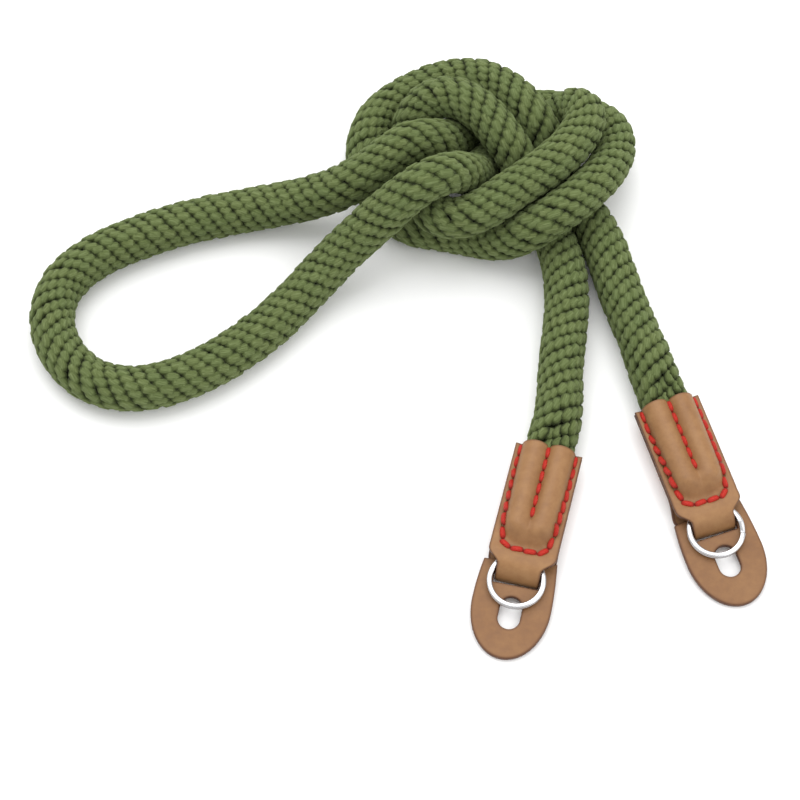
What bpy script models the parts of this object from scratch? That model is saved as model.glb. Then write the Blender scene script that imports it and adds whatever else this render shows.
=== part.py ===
# A camera strap: one length of round cotton rope, folded double and tied in a doubled overhand knot, with a
# leather end, a leather guard flap and a split ring on each tail. It lies on its back on a flat surface.
import math

import bmesh
import bpy
import numpy as np
from mathutils import Matrix, Vector

MM = 0.001
GAP = 0.3 * MM                  # air kept between neighbouring pieces

# The rope
ROPE_D = 12.2 * MM              # across the plain rope
KNOT_SQUEEZE = 0.065            # share of its thickness that the rope loses inside the knot
KNOT_CENTRE = (28.0 * MM, 57.0 * MM)
KNOT_REACH = 30.0 * MM          # the rope is fully squeezed within this distance of the knot's centre
KNOT_FADE = 10.0 * MM           # and plain again this much further out
PRESSED_AT = (44.0 * MM, 76.0 * MM)  # here the lower strands are hidden and pressed thinner
PRESSED_REACH = 12.0 * MM
PRESSED_FADE = 8.0 * MM
PRESSED_BELOW = 14.0 * MM       # only strands that lie lower than this are pressed
PRESSED_RISE = 5.0 * MM         # fully so this much lower still
PRESSED_SQUEEZE = 0.22
STRAND_GAP = 0.6 * MM           # room that the strands are given beside each other
ROPE_SIDES = 16
CURVE_SAMPLES = 20              # between two points of a route
NODE_STEP = 4.0 * MM            # spacing of the nodes that settle
STATION_TURN = math.radians(16.0)  # the tube gets a new ring of points after this much bend
STATION_STEP = 14.0 * MM           # or after this length
SETTLE_ROUNDS = 400
SETTLE_PUSH = 0.15              # share of an overlap that each strand gives way in one round
SETTLE_MOVE = 0.8 * MM          # furthest that a node moves in one round
SETTLE_STIFF = 0.12             # how strongly the rope straightens its own kinks
SETTLE_HOLD = 0.02              # how strongly it keeps to its route
NEIGHBOUR_REACH = 2.0           # strands count as separate when this many diameters apart along the rope

# The rope's two ends, flattened inside the leather
END_DEPTH = 25.0 * MM           # how deep the rope goes into the leather
END_PROUD = 2.0 * MM            # it stays flat for this length outside the mouth
END_FADE = 9.0 * MM             # and turns from flat to round over this length
END_HALF_WIDTH = 5.9 * MM
END_HALF_HEIGHT = 3.8 * MM
LOBE_CREST = 3.1 * MM           # the crest of each of its two lobes, out from the middle
LOBE_DIP = 1.0 * MM             # the valley that the middle row of stitches pulls in
END_ROUNDING = 3.0 * MM
END_TAPER = 0.25                # share of its size that the very end loses to its rounding

# The leather strip folded round the rope's end
LEATHER = 1.2 * MM
POCKET_GAP = 0.5 * MM           # between the rope's flat end and the leather over it
MIDPLANE = END_HALF_HEIGHT + POCKET_GAP + LEATHER     # height of the sewn edges' plane above the floor
SEAM_GAP = 0.3 * MM             # between the two layers along the sewn edges
TAB_LENGTH = 38.0 * MM          # from the mouth to the fold that goes through the flap
TAB_HALF_WIDTH = 9.0 * MM
NECK_HALF_WIDTH = 5.8 * MM
SHOULDER_START = 8.2 * MM       # where the strip starts to narrow, back from the fold
SHOULDER_END = 3.0 * MM
SHOULDER_LATE = 2.5             # the narrowing is put off towards the neck by this power
HUMP_SLOPE = 4.0 * MM           # the leather comes down past the rope's end over this length
BODY_ROW = 8.0 * MM             # between the cross sections of the strip's straight stretch
SHAPE_STEPS = 24                # steps across a curved outline
SHARP_ANGLE = math.radians(50.0)

# The flap, a flat guard plate of leather
FLAP_THICK = 1.6 * MM
FLAP_BACK = 5.6 * MM            # from the slit's middle to its straight top edge
FLAP_FRONT = 21.5 * MM          # from the slit's middle to its round tip
FLAP_TOP_HALF = 9.5 * MM
FLAP_TOP_SLANT = 1.0 * MM       # its top edge reaches back this much more on one side and less on the other
FLAP_WIDE_HALF = 10.4 * MM
FLAP_WIDE_AT = 6.8 * MM
FLAP_SWING = math.radians(2.0)  # the flap is turned this much against its tab
SLIT_CLEARANCE = 0.75 * MM      # on each face of the neck, so that the flap can be turned
SLOT_START = 4.6 * MM
SLOT_END = 13.4 * MM
SLOT_WIDTH = 5.8 * MM
SLOT_ARC = 8                    # steps round each end of the slot

# The split ring: two turns of oval wire lying on each other
RING_OUTER = 15.4 * MM
WIRE_WIDE = 1.4 * MM
WIRE_HIGH = 0.75 * MM
WIRE_FULLNESS = 0.8             # 1 would be a plain oval, less is squarer
TURN_RISE = 0.8 * MM
RING_BACK = 0.2 * MM            # the ring's middle, back from the fold
JOG_HALF = math.radians(15.0)
TURN_STATIONS = 40
WIRE_SIDES = 8

# Puts the middle of the whole strap's box over the origin
SHIFT = Vector((-0.6 * MM, 0.2 * MM, 0.0))

# Each leather end: where the middle of its mouth is, the way it points and which way its flap is turned
ENDS = (
    # name, mouth x, mouth y, pointing, flap turned, ring's step
    ("left", 42.5 * MM, -31.4 * MM, math.radians(-104.3), 1.0, math.radians(200.0)),
    ("right", 74.2 * MM, -17.6 * MM, math.radians(-72.5), 1.0, math.radians(80.0)),
)

# The rope's route from the left mouth to the right one, chosen by hand: x, y and height in millimetres
ROUTE = [
    # up the left tail and under the crossing
    (45, -13, 6), (47.6, 4, 6), (48.6, 24, 6), (44, 41, 7), (36, 56, 14),
    # inner arch, over and down on the left
    (28, 64, 21), (20, 70, 21), (12, 71, 18), (6, 69, 13), (4, 64, 6), (7, 49, 11),
    # inner diagonal, up to the right and round
    (10, 36, 17), (20.7, 33.3, 20.5), (34, 42, 21), (46.9, 52.1, 21), (55.2, 62.4, 21),
    (54, 70, 18), (47, 72, 12),
    # back under the arches and out to the loop
    (40, 70, 6), (31, 62, 9), (27, 51, 15), (16.9, 42, 21), (3.7, 34.4, 22),
    (-10.4, 28.2, 14.5), (-20.1, 19.7, 8),
    # round the loop
    (-34.6, 4.6, 6), (-52, -8, 6), (-72, -13, 6), (-84, -7, 6), (-92, 8, 6), (-88, 22, 6), (-78, 30, 6),
    (-58, 39, 6), (-35, 44, 7), (-19, 45, 12),
    # over the left turn and under the arches
    (-5, 48, 17), (10, 58, 15), (22, 71, 8), (34, 77, 6), (49, 76, 6), (60, 72, 9),
    # outer diagonal, down to the left and round
    (63.4, 60.6, 11.5), (58.9, 50.6, 14), (50.3, 39, 17.5), (40.5, 33, 13),
    (28, 32, 7), (15, 41, 6), (3, 47, 6),
    # outer arch
    (-4, 52, 6), (-6, 61, 7), (1, 72, 9), (11, 81, 11), (22, 83, 14), (32, 76, 18), (40, 66, 17),
    # down the right tail
    (45, 58, 7), (51, 45, 6), (59, 31, 6), (65, 11, 6), (71, -4, 6),
]

# The strip's way round the ring and through the flap: back from the fold, height of the leather's middle
NECK_OVER = (
    (8.6, 6.10), (7.8, 6.30), (7.0, 6.45), (6.0, 6.50), (4.8, 6.45), (3.8, 6.25), (3.0, 5.85), (2.2, 5.10),
    (1.5, 4.20), (1.0, 3.40), (0.75, 2.80), (0.70, 1.90),
)
NECK_UNDER = (
    (0.72, 1.25), (0.95, 0.80), (1.45, 0.60), (3.4, 0.60), (5.4, 0.60), (6.6, 0.65), (7.4, 0.95),
    (8.1, 1.65), (8.8, 2.45), (9.5, 3.25), (10.3, 3.95), (11.0, 4.40),
)
# Across the strip: shares of its half width, denser where the leather turns down to the seam
ACROSS = (-1.0, -0.86, -0.77, -0.69, -0.56, -0.36, -0.17, 0.0, 0.17, 0.36, 0.56, 0.69, 0.77, 0.86, 1.0)

COLOURS = {
    "rope": (0.108, 0.135, 0.060, 1.0),
    "leather": (0.39, 0.19, 0.092, 1.0),
    "steel": (0.80, 0.80, 0.81, 1.0),
}


def clear_scene():
    for thing in list(bpy.data.objects):
        bpy.data.objects.remove(thing, do_unlink=True)


def make_material(name, colour, roughness, metallic):
    material = bpy.data.materials.new(name)
    material.use_nodes = True
    shader = material.node_tree.nodes["Principled BSDF"]
    shader.inputs["Base Color"].default_value = colour
    shader.inputs["Roughness"].default_value = roughness
    shader.inputs["Metallic"].default_value = metallic
    material.diffuse_color = colour
    return material


def ease(x):
    x = np.clip(x, 0.0, 1.0)
    return x * x * (3.0 - 2.0 * x)


# The rope's line

def smooth_line(points, step):
    """A Catmull-Rom curve through the points, read off at even steps."""
    points = np.asarray(points, float)
    ring = np.vstack([2 * points[0] - points[1], points, 2 * points[-1] - points[-2]])
    t = np.linspace(0.0, 1.0, CURVE_SAMPLES, endpoint=False)[:, None]
    line = []
    for a, b, c, d in zip(ring, ring[1:], ring[2:], ring[3:]):
        line.append(0.5 * (2 * b + (c - a) * t + (2 * a - 5 * b + 4 * c - d) * t ** 2
                           + (3 * b - a - 3 * c + d) * t ** 3))
    line = np.vstack(line + [ring[-2:-1]])
    along = distance_along(line)
    even = np.linspace(0.0, along[-1], int(round(along[-1] / step)) + 1)
    return np.stack([np.interp(even, along, line[:, k]) for k in range(3)], axis=1)


def distance_along(line):
    return np.concatenate([[0.0], np.cumsum(np.linalg.norm(np.diff(line, axis=0), axis=1))])


def flatness(line):
    """1 where the rope is flattened inside the leather, 0 where it is round."""
    along = distance_along(line)
    from_end = np.minimum(along, along[-1] - along)
    return 1.0 - ease((from_end - END_DEPTH - END_PROUD) / END_FADE)


def nearness(line, centre, reach, fade):
    """1 within reach of a place, 0 from there on when the fade is over."""
    away = np.hypot(line[:, 0] - centre[0], line[:, 1] - centre[1])
    return np.clip((reach + fade - away) / fade, 0.0, 1.0)


def rope_radius(route):
    """Half the rope's thickness at each node, less inside the knot and least where it is pressed."""
    squeezed = nearness(route, KNOT_CENTRE, KNOT_REACH, KNOT_FADE)
    below = np.clip((PRESSED_BELOW - route[:, 2]) / PRESSED_RISE, 0.0, 1.0)
    pressed = nearness(route, PRESSED_AT, PRESSED_REACH, PRESSED_FADE) * below
    return ROPE_D / 2 * (1.0 - KNOT_SQUEEZE * squeezed) * (1.0 - PRESSED_SQUEEZE * pressed)


def settle(route, radius):
    """Push the strands apart until they only touch, while the rope keeps its bends soft."""
    line = route.copy()
    flat = flatness(route)
    lowest = radius * (1.0 - flat) + MIDPLANE * flat
    held = flat > 0.0
    apart = int(round(NEIGHBOUR_REACH * ROPE_D / NODE_STEP))
    one, other = np.triu_indices(len(line), apart)
    room = radius[one] + radius[other] + STRAND_GAP
    for turn in range(SETTLE_ROUNDS):
        between = line[one] - line[other]
        reach = np.linalg.norm(between, axis=1)
        near = reach < room
        push = between[near] / reach[near, None] * ((room - reach)[near] * SETTLE_PUSH)[:, None]
        move = np.zeros_like(line)
        np.add.at(move, one[near], push)
        np.add.at(move, other[near], -push)
        size = np.linalg.norm(move, axis=1)
        move *= np.minimum(1.0, SETTLE_MOVE / np.maximum(size, 1e-9))[:, None]
        line += move
        sag = np.zeros_like(line)
        sag[1:-1] = (line[:-2] + line[2:]) / 2 - line[1:-1]
        kink = np.zeros_like(line)
        kink[1:-1] = (sag[:-2] + sag[2:]) / 2 - sag[1:-1]
        line[2:-2] -= SETTLE_STIFF * kink[2:-2]
        line += SETTLE_HOLD * (1.0 - turn / SETTLE_ROUNDS) * (route - line)
        line[:, 2] = np.maximum(line[:, 2], lowest)
        line[held] = route[held]
    return line


def rope_line():
    """The settled nodes of the rope and half its thickness at each."""
    left, right = (end_points(end) for end in ENDS)
    chosen = np.array(ROUTE, float) * MM
    laid = smooth_line(np.vstack([left, chosen, right[::-1]]), NODE_STEP)
    radius = rope_radius(laid)
    return settle(laid, radius), radius


def end_points(end):
    """Points of the rope's line inside one tab and just outside its mouth."""
    name, x, y, pointing, turned, step = end
    points = []
    for depth in (END_DEPTH, END_DEPTH / 2, 0.0, -END_PROUD, -END_PROUD - END_FADE):
        height = MIDPLANE if depth >= -END_PROUD else ROPE_D / 2
        points.append((x + math.cos(pointing) * depth, y + math.sin(pointing) * depth, height))
    return np.array(points)


def stations(line):
    """The nodes that the tube is built on: closer together where the rope bends."""
    flat = flatness(line)
    way = np.diff(line, axis=0)
    way /= np.linalg.norm(way, axis=1)[:, None]
    keep, turned, gone = [0], 0.0, 0.0
    for k in range(1, len(line) - 1):
        turned += math.acos(min(1.0, float(way[k - 1] @ way[k])))
        gone += NODE_STEP
        changing = 0.0 < flat[k] < 1.0
        if turned >= STATION_TURN or gone >= STATION_STEP or changing or k in (1, len(line) - 2):
            keep.append(k)
            turned, gone = 0.0, 0.0
    return keep + [len(line) - 1]


def rope_frames(line):
    """The way on and the sideways direction at each node; both ends lie flat."""
    way = np.gradient(line, axis=0)
    way /= np.linalg.norm(way, axis=1)[:, None]
    up = np.array([0.0, 0.0, 1.0])
    side = np.zeros_like(line)
    side[0] = np.cross(way[0], up)
    side[0] /= np.linalg.norm(side[0])
    for k in range(1, len(line)):
        turned = side[k - 1] - way[k] * (side[k - 1] @ way[k])
        side[k] = turned / np.linalg.norm(turned)
    last = np.cross(way[-1], up)
    last /= np.linalg.norm(last)
    lean = math.atan2(float(np.cross(side[-1], last) @ way[-1]), float(side[-1] @ last))
    twist = lean * distance_along(line) / distance_along(line)[-1]
    top = np.cross(side, way)
    side = side * np.cos(twist)[:, None] - top * np.sin(twist)[:, None]
    return way, side


def lobes(across):
    """Half height of the flattened rope end at a distance from its middle."""
    out = abs(across)
    if out > LOBE_CREST:
        share = min(1.0, (out - LOBE_CREST) / (END_HALF_WIDTH - LOBE_CREST))
        return END_HALF_HEIGHT * math.sqrt(max(0.0, 1.0 - share * share))
    return END_HALF_HEIGHT - LOBE_DIP * 0.5 * (1.0 + math.cos(math.pi * out / LOBE_CREST))


def loft(rings, closed_ends=True):
    """A closed body through rings of points that all run the same way round."""
    mesh = bmesh.new()
    loops = [[mesh.verts.new(point) for point in ring] for ring in rings]
    count = len(loops[0])
    for one, two in zip(loops, loops[1:]):
        for k in range(count):
            mesh.faces.new((one[k], one[(k + 1) % count], two[(k + 1) % count], two[k]))
    if closed_ends:
        mesh.faces.new(loops[0][::-1])
        mesh.faces.new(loops[-1])
    bmesh.ops.recalc_face_normals(mesh, faces=mesh.faces)
    return mesh


def finish(mesh, name, material, smooth=True):
    data = bpy.data.meshes.new(name)
    mesh.to_mesh(data)
    mesh.free()
    if smooth:
        data.shade_smooth()
        data.set_sharp_from_angle(angle=SHARP_ANGLE)
    data.materials.append(material)
    thing = bpy.data.objects.new(name, data)
    bpy.context.scene.collection.objects.link(thing)
    return thing


def make_rope(material):
    line, radius = rope_line()
    way, side = rope_frames(line)
    top = np.cross(side, way)
    flat = flatness(line)
    along = distance_along(line)
    rings = []
    for k in stations(line):
        from_end = min(along[k], along[-1] - along[k])
        rounding = 1.0 - END_TAPER * (1.0 - ease(from_end / END_ROUNDING))
        ring = []
        for n in range(ROPE_SIDES):
            angle = 2 * math.pi * (n + 0.5) / ROPE_SIDES
            round_x, round_z = radius[k] * math.cos(angle), radius[k] * math.sin(angle)
            flat_x = END_HALF_WIDTH * math.cos(angle)
            flat_z = math.copysign(lobes(flat_x), math.sin(angle))
            x = round_x * (1 - flat[k]) + flat_x * flat[k] * rounding
            z = round_z * (1 - flat[k]) + flat_z * flat[k] * rounding
            ring.append(line[k] + side[k] * x + top[k] * z)
        rings.append(ring)
    rope = finish(loft(rings), "rope", material)
    rope.location = SHIFT
    return rope


# The leather ends

def hump(across):
    """How far the leather's middle stands off the seam plane, over the flattened rope."""
    clear = POCKET_GAP + LEATHER / 2
    best = (SEAM_GAP + LEATHER) / 2
    for n in range(-SHAPE_STEPS, SHAPE_STEPS + 1):
        at = END_HALF_WIDTH * n / SHAPE_STEPS
        reach = clear * clear - (across - at) ** 2
        if reach > 0.0:
            best = max(best, lobes(at) + math.sqrt(reach))
    return best


def strip_half_width(back):
    share = ease((SHOULDER_START - back) / (SHOULDER_START - SHOULDER_END)) ** SHOULDER_LATE
    return TAB_HALF_WIDTH + (NECK_HALF_WIDTH - TAB_HALF_WIDTH) * float(share)


def strip_rows():
    """Rows of the folded strip: distance back from the fold, seam height, hump share, and its side."""
    seam = (SEAM_GAP + LEATHER) / 2
    end = TAB_LENGTH - END_DEPTH
    body = [TAB_LENGTH, TAB_LENGTH - BODY_ROW, TAB_LENGTH - 2 * BODY_ROW, end]
    body += [end - HUMP_SLOPE * share for share in (0.2, 0.4, 0.6, 0.8, 1.0)]
    rows = [(back, MIDPLANE + seam, 1.0, back) for back in body if back > NECK_OVER[0][0] * MM]
    rows += [(back * MM, height * MM, 1.0, back * MM) for back, height in NECK_OVER]
    rows += [(back * MM, height * MM, -1.0, back * MM) for back, height in NECK_UNDER]
    rows += [(back, MIDPLANE - seam, -1.0, back) for back in reversed(body)
             if back > NECK_UNDER[-1][0] * MM]
    return rows


def make_tab(name, material):
    seam = (SEAM_GAP + LEATHER) / 2
    end = TAB_LENGTH - END_DEPTH
    middle = []
    for back, height, side, place in strip_rows():
        half = strip_half_width(place)
        full = 1.0 - float(ease((end - back) / HUMP_SLOPE))
        middle.append([(TAB_LENGTH - back, half * share,
                        height + side * full * (hump(TAB_HALF_WIDTH * share) - seam)) for share in ACROSS])
    middle = np.array(middle)
    along = np.gradient(middle, axis=0)
    across = np.gradient(middle, axis=1)
    normal = np.cross(along, across)
    normal /= np.linalg.norm(normal, axis=2)[:, :, None]
    outer = middle + normal * LEATHER / 2
    inner = middle - normal * LEATHER / 2
    rings = [[*outer[k], *inner[k][::-1]] for k in range(len(middle))]
    return finish(loft(rings), name, material)


def flap_outline():
    """The plate's edge, seen from above, with the slit's middle as its zero."""
    curve = []
    for n in range(SHAPE_STEPS + 1):
        angle = math.pi * n / SHAPE_STEPS
        curve.append((FLAP_WIDE_AT + (FLAP_FRONT - FLAP_WIDE_AT) * math.sin(angle),
                      FLAP_WIDE_HALF * math.cos(angle)))
    for n in range(1, 7):
        share = n / 6
        half = FLAP_WIDE_HALF - (FLAP_WIDE_HALF - FLAP_TOP_HALF) * share ** 2
        curve.append((FLAP_WIDE_AT - (FLAP_WIDE_AT + FLAP_BACK - FLAP_TOP_SLANT) * share, -half))
        curve.insert(0, (FLAP_WIDE_AT - (FLAP_WIDE_AT + FLAP_BACK + FLAP_TOP_SLANT) * share, half))
    return curve


def plate(outline, low, high):
    mesh = bmesh.new()
    bottom = mesh.faces.new([mesh.verts.new((x, y, low)) for x, y in outline])
    grown = bmesh.ops.extrude_face_region(mesh, geom=[bottom])
    lifted = [part for part in grown["geom"] if isinstance(part, bmesh.types.BMVert)]
    bmesh.ops.translate(mesh, verts=lifted, vec=(0.0, 0.0, high - low))
    bmesh.ops.recalc_face_normals(mesh, faces=mesh.faces)
    return mesh


def stadium(start, stop, width):
    """A slot's edge with round ends."""
    half = width / 2
    edge = []
    for centre, turn in ((stop - half, -math.pi / 2), (start + half, math.pi / 2)):
        for n in range(SLOT_ARC + 1):
            angle = turn + math.pi * n / SLOT_ARC
            edge.append((centre + half * math.cos(angle), half * math.sin(angle)))
    return edge


def make_flap(name, material):
    flap = finish(plate(flap_outline(), 0.0, FLAP_THICK), name, material, smooth=False)
    slit_half = LEATHER / 2 + SLIT_CLEARANCE
    slit_wide = NECK_HALF_WIDTH + GAP
    slit = [(slit_half, -slit_wide), (slit_half, slit_wide),
            (-slit_half, slit_wide), (-slit_half, -slit_wide)]
    for label, edge in (("slit", slit), ("slot", stadium(SLOT_START, SLOT_END, SLOT_WIDTH))):
        cutter = finish(plate(edge, -FLAP_THICK, 2 * FLAP_THICK), name + "_" + label + "_cutter", material,
                        smooth=False)
        cutter.hide_render = True
        cutter.display_type = "WIRE"
        cutter.parent = flap
        cut = flap.modifiers.new(label, "BOOLEAN")
        cut.operation = "DIFFERENCE"
        cut.solver = "EXACT"
        cut.object = cutter
    return flap


def make_ring(name, material, step):
    """Two turns of oval wire; between them the wire steps from the lower turn to the upper one."""
    centre = (RING_OUTER - WIRE_WIDE) / 2
    rings = []
    total = 2 * TURN_STATIONS
    for n in range(total + 1):
        angle = JOG_HALF + (4 * math.pi - 2 * JOG_HALF) * n / total
        rise = float(ease((angle - 2 * math.pi + JOG_HALF) / (2 * JOG_HALF)))
        height = TURN_RISE * (rise - 0.5)
        out = Vector((math.cos(angle + step), math.sin(angle + step), 0.0))
        ring = []
        for k in range(WIRE_SIDES):
            around = 2 * math.pi * (k + 0.5) / WIRE_SIDES
            # oval section, fuller than an ellipse
            wide = math.copysign(abs(math.cos(around)) ** WIRE_FULLNESS, math.cos(around)) * WIRE_WIDE / 2
            high = math.copysign(abs(math.sin(around)) ** WIRE_FULLNESS, math.sin(around)) * WIRE_HIGH / 2
            ring.append(out * (centre + wide) + Vector((0.0, 0.0, height + high)))
        rings.append(ring)
    return finish(loft(rings), name, material)


def slope():
    """The flap leans on the strip's under layer and touches the floor at its tip."""
    rise = LEATHER + GAP
    run = FLAP_FRONT + LEATHER / 2
    return math.atan2(rise, run)


def make_end(end, leather, steel):
    name, x, y, pointing, turned, step = end
    holder = bpy.data.objects.new(name + "_end", None)
    bpy.context.scene.collection.objects.link(holder)
    holder.location = Vector((x, y, 0.0)) + SHIFT
    holder.rotation_euler = (0.0, 0.0, pointing)

    tab = make_tab("tab_" + name, leather)
    tab.parent = holder

    lean = slope()
    slit_at = TAB_LENGTH - NECK_OVER[-1][0] * MM
    tip = Vector((slit_at, 0.0, 0.0)) + Matrix.Rotation(FLAP_SWING * turned, 3, "Z") @ Vector(
        (FLAP_FRONT * math.cos(lean), 0.0, 0.0))
    flap = make_flap("flap_" + name, leather)
    flap.parent = holder
    place = (Matrix.Translation(tip) @ Matrix.Rotation(FLAP_SWING * turned, 4, "Z")
             @ Matrix.Rotation(lean, 4, "Y") @ Matrix.Translation((-FLAP_FRONT, 0.0, 0.0)))
    flap.matrix_local = place

    ring = make_ring("ring_" + name, steel, step)
    ring.parent = holder
    above = FLAP_THICK + GAP + (TURN_RISE + WIRE_HIGH) / 2
    back_to_slit = TAB_LENGTH - RING_BACK - slit_at
    ring.matrix_local = place @ Matrix.Translation((back_to_slit, 0.0, above))


def main():
    clear_scene()
    rope = make_material("cotton_rope", COLOURS["rope"], 0.95, 0.0)
    leather = make_material("tan_leather", COLOURS["leather"], 0.62, 0.0)
    steel = make_material("polished_steel", COLOURS["steel"], 0.15, 1.0)
    make_rope(rope)
    for end in ENDS:
        make_end(end, leather, steel)


main()
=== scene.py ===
# %% [markdown]
# # A rope strap with leather ends
# The strap is one length of round knitted cotton rope, folded double and tied in a doubled overhand
# knot. Each tail ends in a strip of tan leather that is folded round the rope, sewn with red thread
# and looped round a split ring, over a leather guard flap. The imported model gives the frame: every
# piece here is built in its coordinates, in metres, and stands in for one of its nodes.

import math

import bmesh
import bpy
import numpy as np
from mathutils import Matrix, Vector, geometry


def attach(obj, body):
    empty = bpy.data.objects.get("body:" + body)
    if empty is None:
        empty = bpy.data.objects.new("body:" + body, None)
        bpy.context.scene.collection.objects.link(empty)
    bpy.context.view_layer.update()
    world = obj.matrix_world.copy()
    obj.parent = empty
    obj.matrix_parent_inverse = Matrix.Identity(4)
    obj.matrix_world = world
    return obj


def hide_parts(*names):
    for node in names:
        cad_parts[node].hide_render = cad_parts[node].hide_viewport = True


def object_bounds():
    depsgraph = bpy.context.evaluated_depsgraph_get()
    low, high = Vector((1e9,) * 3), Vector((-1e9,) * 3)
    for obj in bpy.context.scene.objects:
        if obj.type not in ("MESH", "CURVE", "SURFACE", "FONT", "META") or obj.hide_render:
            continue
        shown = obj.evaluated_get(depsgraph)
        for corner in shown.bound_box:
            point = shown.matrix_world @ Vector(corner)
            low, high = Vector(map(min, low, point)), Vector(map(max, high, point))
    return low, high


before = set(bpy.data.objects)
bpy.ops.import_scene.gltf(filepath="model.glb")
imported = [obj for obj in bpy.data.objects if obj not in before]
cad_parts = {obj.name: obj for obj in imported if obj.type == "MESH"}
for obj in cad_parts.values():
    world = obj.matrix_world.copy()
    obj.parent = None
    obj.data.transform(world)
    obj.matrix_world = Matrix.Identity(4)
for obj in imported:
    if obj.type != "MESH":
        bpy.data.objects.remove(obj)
cad_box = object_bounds()
MM = 0.001
FLOOR = cad_box[0].z
print("nodes of the packed model:", ", ".join(sorted(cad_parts)))

# %% [markdown]
# ## Camera, floor and light
# The camera looks down at the strap at 62 degrees from 0.7 m away, through a long lens, so that the
# rope keeps its thickness from the near leather to the far arch. The floor is pale. A wide, soft
# lamp hangs above and behind, a weaker one stands at the right, and the surround is bright, as in a
# light tent: the tops of the strands are bright, the sides that face the camera fall off, and the
# shadows stay faint.

# %% Camera
EYE_HEIGHT = math.radians(62.0)
EYE_AWAY = 0.7
FOCUS_PIXELS = 2590.0           # focal length, in pixels of a picture 800 pixels wide
PICTURE = 800
SENSOR = 36.0
AIM = Vector((2.4, -12.8, 0.0)) * MM


def into_scene(name, data):
    """A new object in the scene."""
    thing = bpy.data.objects.new(name, data)
    bpy.context.scene.collection.objects.link(thing)
    return thing


eye = bpy.data.cameras.new("camera")
eye.sensor_width = SENSOR
eye.lens = SENSOR * FOCUS_PIXELS / PICTURE
camera = into_scene("camera", eye)
camera.location = AIM + EYE_AWAY * Vector((0.0, -math.cos(EYE_HEIGHT), math.sin(EYE_HEIGHT)))
camera.rotation_euler = (math.pi / 2 - EYE_HEIGHT, 0.0, 0.0)
bpy.context.scene.camera = camera
bpy.context.scene.view_settings.view_transform = "Standard"
print("lens", round(eye.lens, 1), "mm")

# %% [markdown]
# ## Writing node trees as sums
# Materials and Geometry Nodes are both trees of nodes. One function places a node of any kind: its
# settings are set first, then the values or links of its sockets. A small class wraps a socket that
# carries a number and overloads the operators, so that a mask can be written as a sum and its Math
# nodes are added as Python reads it.

# %% Helpers for node trees
def feed(tree, socket, value):
    """Give a socket a value, or a link from a socket or a Number."""
    if isinstance(value, Number):
        value = value.socket
    if isinstance(value, bpy.types.NodeSocket):
        tree.links.new(value, socket)
    else:
        socket.default_value = value


def place(tree, kind, settings=None, sockets=None):
    """A node of that kind, with its settings, and the values or links of its sockets."""
    node = tree.nodes.new(kind)
    for key, value in (settings or {}).items():
        if key == "stops":
            ramp = node.color_ramp
            while len(ramp.elements) < len(value):
                ramp.elements.new(0.5)
            for stop, (at, colour) in zip(ramp.elements, value):
                stop.position = at
                stop.color = colour
        else:
            setattr(node, key, value)
    for key, value in (sockets or {}).items():
        feed(tree, node.inputs[key], value)
    return node


class Number:
    """A socket that carries a number, with the operators of Python."""

    def __init__(self, tree, socket):
        self.tree, self.socket = tree, socket

    def work(self, operation, *values, clamp=False):
        node = place(self.tree, "ShaderNodeMath", {"operation": operation, "use_clamp": clamp},
                     dict(enumerate(values)))
        return Number(self.tree, node.outputs[0])

    def __add__(self, other):
        return self.work("ADD", self, other)

    __radd__ = __add__

    def __sub__(self, other):
        return self.work("SUBTRACT", self, other)

    def __rsub__(self, other):
        return self.work("SUBTRACT", other, self)

    def __mul__(self, other):
        return self.work("MULTIPLY", self, other)

    __rmul__ = __mul__

    def __pow__(self, other):
        return self.work("POWER", self, other)

    def clamped(self):
        return self.work("ADD", self, 0.0, clamp=True)


class Finish:
    """A material being mixed, with ways to read what varies over the surface."""

    def __init__(self, name, colour, roughness, metallic=0.0):
        self.material = bpy.data.materials.new(name)
        self.material.use_nodes = True
        self.material.diffuse_color = (*colour, 1.0)
        self.tree = self.material.node_tree
        self.shader = self.tree.nodes["Principled BSDF"]
        self.set("Base Color", (*colour, 1.0))
        self.set("Roughness", roughness)
        self.set("Metallic", metallic)

    def set(self, name, value):
        feed(self.tree, self.shader.inputs[name], value)

    def place(self, kind, settings=None, sockets=None):
        return place(self.tree, kind, settings, sockets)

    def number(self, socket):
        return Number(self.tree, socket)

    def vector(self, name, output="Vector"):
        return self.place("ShaderNodeAttribute", {"attribute_name": name}).outputs[output]

    def attribute(self, name):
        return self.number(self.vector(name, "Fac"))

    def vector_work(self, operation, one, two):
        return self.place("ShaderNodeVectorMath", {"operation": operation},
                          {0: one, 1: two}).outputs[0]

    def where(self):
        return self.place("ShaderNodeTexCoord").outputs["Object"]

    def noise(self, vector, scale, detail=2.0, roughness=0.5):
        return self.number(self.place("ShaderNodeTexNoise", None, {
            "Vector": vector, "Scale": scale, "Detail": detail, "Roughness": roughness,
        }).outputs["Fac"])

    def mixed(self, share, one, two, blend="MIX"):
        """A colour between two others."""
        return self.place("ShaderNodeMix", {"data_type": "RGBA", "blend_type": blend},
                          {0: share, 6: one, 7: two}).outputs[2]

    def ramp(self, share, *stops):
        """A colour read off a row of stops."""
        return self.place("ShaderNodeValToRGB", {"stops": stops}, {0: share}).outputs[0]

    def bumped(self, height, distance, strength, under=None):
        sockets = {"Height": height, "Distance": distance, "Strength": strength}
        if under is not None:
            sockets["Normal"] = under
        return self.place("ShaderNodeBump", None, sockets).outputs["Normal"]


def tint(*screen):
    """Screen values from 0 to 255 as the linear values that shaders take."""
    return tuple(((v / 255 + 0.055) / 1.055) ** 2.4 if v > 10 else v / 255 / 12.92 for v in screen)


def rgba(*screen):
    return (*tint(*screen), 1.0)


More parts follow.
